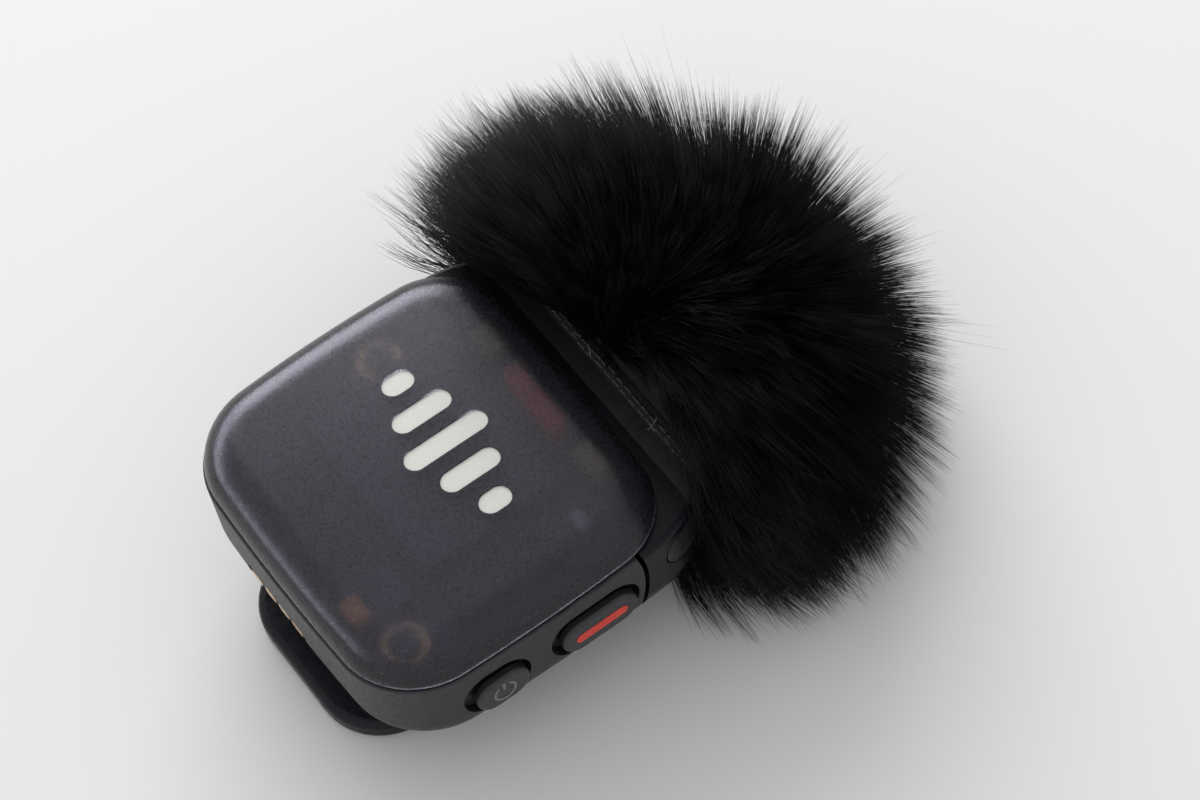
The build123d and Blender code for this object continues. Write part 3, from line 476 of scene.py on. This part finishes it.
def grow(count, reach_low, reach_high, thickness, clump_size, pull, ruffle, crowd, seed):
    """One kind of hair on the windscreen: its paths, thicknesses and clump numbers, and its generator."""
    rng = np.random.default_rng(seed)
    rays = spread(count, rng, 0.02) + crowd
    rays /= np.linalg.norm(rays, axis=1, keepdims=True)
    reach = reach_low + (reach_high - reach_low) * rng.random(count) ** 0.7
    paths = strand_paths(rays, reach, rng)
    lean = rng.uniform(0, LEAN_RANGE, count)
    paths = flow(paths[~out_of_place(paths, lean)], FLOW, rng)
    leaders = rng.choice(len(paths), len(paths) // clump_size, replace=False)
    strength = rng.uniform(pull * 0.7, min(0.95, pull * 1.3), len(paths))
    paths, clump = gather(paths, leaders, strength)
    t = np.linspace(0, 1, RINGS)[None, :, None]
    sway = rng.normal(0, ruffle, (len(leaders), 1, 3))[clump]
    curl = rng.normal(0, ruffle / 3, (len(leaders), 1, 3))[clump]
    paths = paths + sway * t ** 2 + curl * np.sin(t * math.pi * 1.6) * t
    paths = paths + rng.normal(0, STRAY, (len(paths), 1, 3)) * t
    clear = ~out_of_place(paths, np.full(len(paths), LEAN_RANGE))
    paths, clump = paths[clear], clump[clear]
    paths = lie_on_floor(paths, rng)
    width = rng.uniform(0.75, 1.2, len(paths)) * thickness
    return paths, width, clump, rng


def make_fur():
    """Guard hairs, ruffled tufts, underfur, more hair at the lobe and the rim, and a few strays."""
    stems = [
        ((0.002, 0.002, 0.002), 0.6, 0.08),
        ((0.003, 0.003, 0.004), 0.5, 0.16),
        ((0.003, 0.002, 0.002), 0.6, 0.1),
    ]
    # The tip finishes are lighter than the stems. This is painted backlight, standing in for light shining
    # through the thin hair ends.
    tips = [
        ((0.003, 0.003, 0.004), 0.55, 0.12),
        ((0.006, 0.006, 0.009), 0.45, 0.25),
        ((0.007, 0.005, 0.004), 0.5, 0.2),
    ]
    finishes = [hair_finish(f"fur_stem_{k}", *v) for k, v in enumerate(stems)]
    finishes += [hair_finish(f"fur_tip_backlit_{k}", *v) for k, v in enumerate(tips)]
    # count, shortest and longest reach, thickness, hairs in a clump, its pull, its ruffle, crowding, seed
    kinds = {
        "guard": (46000, 0.93, 1.07, 0.07, 7, 0.42, 0.6, 0, 11),
        "tuft": (36000, 0.78, 1.0, 0.07, 10, 0.55, 1.1, 0, 12),
        "under": (22000, 0.55, 0.9, 0.075, 10, 0.45, 0.9, 0, 13),
        "lobe": (12000, 0.88, 1.05, 0.07, 8, 0.5, 0.7, 1.5 * LOBE, 14),
        "rim": (9000, 0.5, 0.9, 0.07, 8, 0.4, 0.5, 1.6 * RIM, 16),
        "stray": (500, 1.0, 1.15, 0.05, 2, 0.1, 1.3, 0, 15),
    }
    for kind, values in kinds.items():
        paths, width, clump, rng = grow(*values)
        shade = rng.integers(0, len(stems), clump.max() + 1)[clump]
        sector = np.arctan2(paths[:, -1, 2] - FUR_CENTRE[2], paths[:, -1, 0])
        order = np.argsort(sector)
        parts = np.array_split(order, 1 + len(order) * (RINGS - 1) * SIDES * 2 // MOST_TRIANGLES)
        for number, some in enumerate(parts):
            name = f"fur_{kind}_{number + 1}"
            piece = strand_mesh(name, paths[some], width[some], shade[some], finishes)
            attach(piece, "windscreen")
            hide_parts("windscreen_fur")


# ---- Under the fur

def resurfaced(node, name, voxel, relief):
    """A new piece with a CAD node's form, meshed evenly and raised by relief(points, rng) millimetres."""
    piece = bpy.data.objects.new(name, frame["nodes"][node].data.copy())
    bpy.context.scene.collection.objects.link(piece)
    even = piece.modifiers.new("even", "REMESH")
    even.mode = "VOXEL"
    even.voxel_size = voxel * MM
    soften = piece.modifiers.new("soften", "SMOOTH")
    soften.iterations = 3
    depsgraph = bpy.context.evaluated_depsgraph_get()
    mesh = bpy.data.meshes.new_from_object(piece.evaluated_get(depsgraph))
    piece.modifiers.clear()
    piece.data = mesh
    points = np.empty(len(mesh.vertices) * 3, np.float32)
    facing = np.empty(len(mesh.vertices) * 3, np.float32)
    mesh.vertices.foreach_get("co", points)
    mesh.vertices.foreach_get("normal", facing)
    points = points.reshape(-1, 3)
    raised = relief(points / MM, np.random.default_rng(RELIEF_SEED)) * MM
    points += facing.reshape(-1, 3) * raised[:, None]
    mesh.vertices.foreach_set("co", points.ravel())
    mesh.polygons.foreach_set("use_smooth", np.ones(len(mesh.polygons), bool))
    mesh.update()
    return piece


def pores(points, rng):
    """Open cells of the foam, sunk at random."""
    return -PORE_DEPTH * rng.random(len(points)) ** 3


def knit(points, rng):
    """Rows of knitted loops, with a little unevenness."""
    rows = np.abs(np.sin(points[:, 2] * math.pi / KNIT_ROW))
    loops = np.abs(np.sin(points[:, 0] * math.pi / KNIT_LOOP + points[:, 1] * math.pi / KNIT_LOOP))
    return KNIT_DEPTH * (rows * loops - 0.5) + rng.normal(0, 0.004, len(points))


def wear(piece, finish, node):
    """Gives a windscreen piece its finish, and puts it in the place of a CAD node."""
    piece.data.materials.clear()
    piece.data.materials.append(finish)
    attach(piece, "windscreen")
    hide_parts(node)


def make_core():
    """The foam block over the sound inlet, and the knitted shell that the pile is sewn into."""
    foam = resurfaced("windscreen_foam", "foam_block", FOAM_VOXEL, pores)
    open_foam = moulded("open_foam", (0.010, 0.010, 0.011), 0.95, 0.3, 0.1, 0.04, 1.8)
    wear(foam, open_foam, "windscreen_foam")
    shell = resurfaced("windscreen_backing", "knit_shell", KNIT_VOXEL, knit)
    knitted = moulded("knit_cloth", (0.006, 0.006, 0.007), 0.9, 0.2, 0.05, 0.05, 2.0)
    wear(shell, knitted, "windscreen_backing")


def rim_loop(out, count):
    """Points evenly along a loop round the collar, out millimetres from its surface, as x and z."""
    half = body_half_width(RIM_BACK) - BODY_GAP + out
    low = BODY_LOW - out
    high = RIM_TOP - RIM_STEP + out
    corners = [(half, high, RIM_CORNERS[0], 0), (-half, high, RIM_CORNERS[0], 90),
               (-half, low, RIM_CORNERS[1], 180), (half, low, RIM_CORNERS[1], 270)]
    points = []
    for x, z, radius, start in corners:
        radius += out
        middle = np.array([x - math.copysign(radius, x), z - radius if z == high else z + radius])
        for turn in np.radians(np.linspace(start, start + 90, CORNER_POINTS)):
            points.append(middle + radius * np.array([math.cos(turn), math.sin(turn)]))
    points = np.array(points + points[:1])
    along = np.concatenate([[0], np.cumsum(np.linalg.norm(np.diff(points, axis=0), axis=1))])
    where = np.linspace(0, along[-1], count, endpoint=False)
    return np.stack([np.interp(where, along, points[:, k]) for k in range(2)], 1)


def make_tape():
    """The black tape that binds the windscreen's mouth to the collar's rim."""
    low, high = TAPE_Y
    section = [
        (low, 0.0),
        (low, TAPE_EDGE),
        (low + TAPE_EDGE, TAPE_THICKNESS),
        (high - TAPE_EDGE, TAPE_THICKNESS),
        (high, TAPE_EDGE),
        (high, 0.0),
    ]
    rings = []
    for y, out in section:
        loop = rim_loop(out, TAPE_POINTS)
        rings.append(np.stack([loop[:, 0], np.full(TAPE_POINTS, y), loop[:, 1]], 1))
    points = np.stack(rings, 1).reshape(-1, 3) * MM
    size = len(section)
    faces = []
    for k in range(TAPE_POINTS):
        here = k * size
        there = (k + 1) % TAPE_POINTS * size
        for j in range(size):
            after = (j + 1) % size
            faces.append((here + j, here + after, there + after, there + j))
    mesh = bpy.data.meshes.new("rim_tape")
    mesh.from_pydata(points.tolist(), [], faces)
    mesh.update()
    tape = bpy.data.objects.new("rim_tape", mesh)
    bpy.context.scene.collection.objects.link(tape)
    mesh.materials.append(moulded("tape_weave", (0.012, 0.012, 0.014), 0.8, 0.12, 0.03, 0.05, 2.0))
    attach(tape, "windscreen")


def make_stitches():
    """Two rows of pale thread along the tape's edges, a little loose and frayed; their pale grey is a painted
    glint where the hem catches the light.
    """
    rng = np.random.default_rng(STITCH_SEED)
    paths = []
    for y in STITCH_ROWS_Y:
        loop = rim_loop(0.15, STITCHES * RINGS)
        for k in range(STITCHES):
            bit = np.roll(loop, -k * RINGS, axis=0)[:RINGS]
            drift = rng.normal(0, 0.03)
            paths.append(np.stack([bit[:, 0], np.full(RINGS, y + drift), bit[:, 1]], 1))
        frays = rng.integers(0, STITCHES, STITCHES // 2)
        for k in frays:
            start = np.array(paths[-1 - k][0])
            aim = rng.normal(0, 1, 3) * (0.5, 0.35, 0.2) + (0, 0, 0.15)
            t = np.linspace(0, 1, RINGS)[:, None]
            paths.append(start + aim * t + rng.normal(0, 0.03, (RINGS, 3)) * t)
    paths = np.array(paths)
    width = rng.uniform(0.07, 0.13, len(paths))
    # Pale greys for the threads: a painted glint along the hem.
    glint_greys = [(0.16, 0.16, 0.17), (0.30, 0.29, 0.28)]
    pale = [moulded(f"thread_{k}", grey, 0.7, 0.1, 0.01) for k, grey in enumerate(glint_greys)]
    stitches = strand_mesh("rim_stitches", paths, width, rng.integers(0, 1, len(paths)), pale)
    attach(stitches, "windscreen")


# ---- Room

def make_floor():
    mesh = bpy.data.meshes.new("floor")
    half = FLOOR_HALF
    corners = [(-half, -half, 0), (half, -half, 0), (half, half, 0), (-half, half, 0)]
    mesh.from_pydata(corners, [], [(0, 1, 2, 3)])
    floor = bpy.data.objects.new("floor", mesh)
    bpy.context.scene.collection.objects.link(floor)
    made, shader = principled("floor_pale", (0.86, 0.86, 0.86), 0.85)
    mesh.materials.append(made)


def add_light(name, at, aim, size, power):
    data = bpy.data.lights.new(name, "AREA")
    data.shape = "RECTANGLE"
    data.size, data.size_y = size
    data.energy = power
    light = bpy.data.objects.new(name, data)
    light.location = at
    light.rotation_euler = (Vector(aim) - Vector(at)).to_track_quat("-Z", "Y").to_euler()
    bpy.context.scene.collection.objects.link(light)


def make_lights():
    world = bpy.data.worlds.new("room")
    bpy.context.scene.world = world
    world.use_nodes = True
    world.node_tree.nodes["Background"].inputs["Color"].default_value = (0.985, 0.99, 1.0, 1)
    world.node_tree.nodes["Background"].inputs["Strength"].default_value = ROOM_LIGHT
    add_light("key", KEY_AT, KEY_AIM, KEY_SIZE, KEY_POWER)


def make_camera():
    azimuth = math.radians(CAMERA_AZIMUTH)
    elevation = math.radians(CAMERA_ELEVATION)
    flat = math.cos(elevation)
    away = Vector((math.sin(azimuth) * flat, -math.cos(azimuth) * flat, math.sin(elevation)))
    data = bpy.data.cameras.new("camera")
    data.sensor_width = SENSOR_WIDTH
    data.lens = LENS
    data.clip_start = 0.01
    camera = bpy.data.objects.new("camera", data)
    camera.location = (Vector(CAMERA_AIM) + away * CAMERA_DISTANCE) * MM
    roll = Euler((0, 0, math.radians(CAMERA_ROLL))).to_matrix()
    camera.rotation_euler = ((-away).to_track_quat("-Z", "Y").to_matrix() @ roll).to_euler()
    bpy.context.scene.collection.objects.link(camera)
    bpy.context.scene.camera = camera


paint_nodes()
make_core()
make_tape()
make_stitches()
make_fur()
make_floor()
make_lights()
make_camera()
bpy.context.scene.view_settings.view_transform = "Standard"
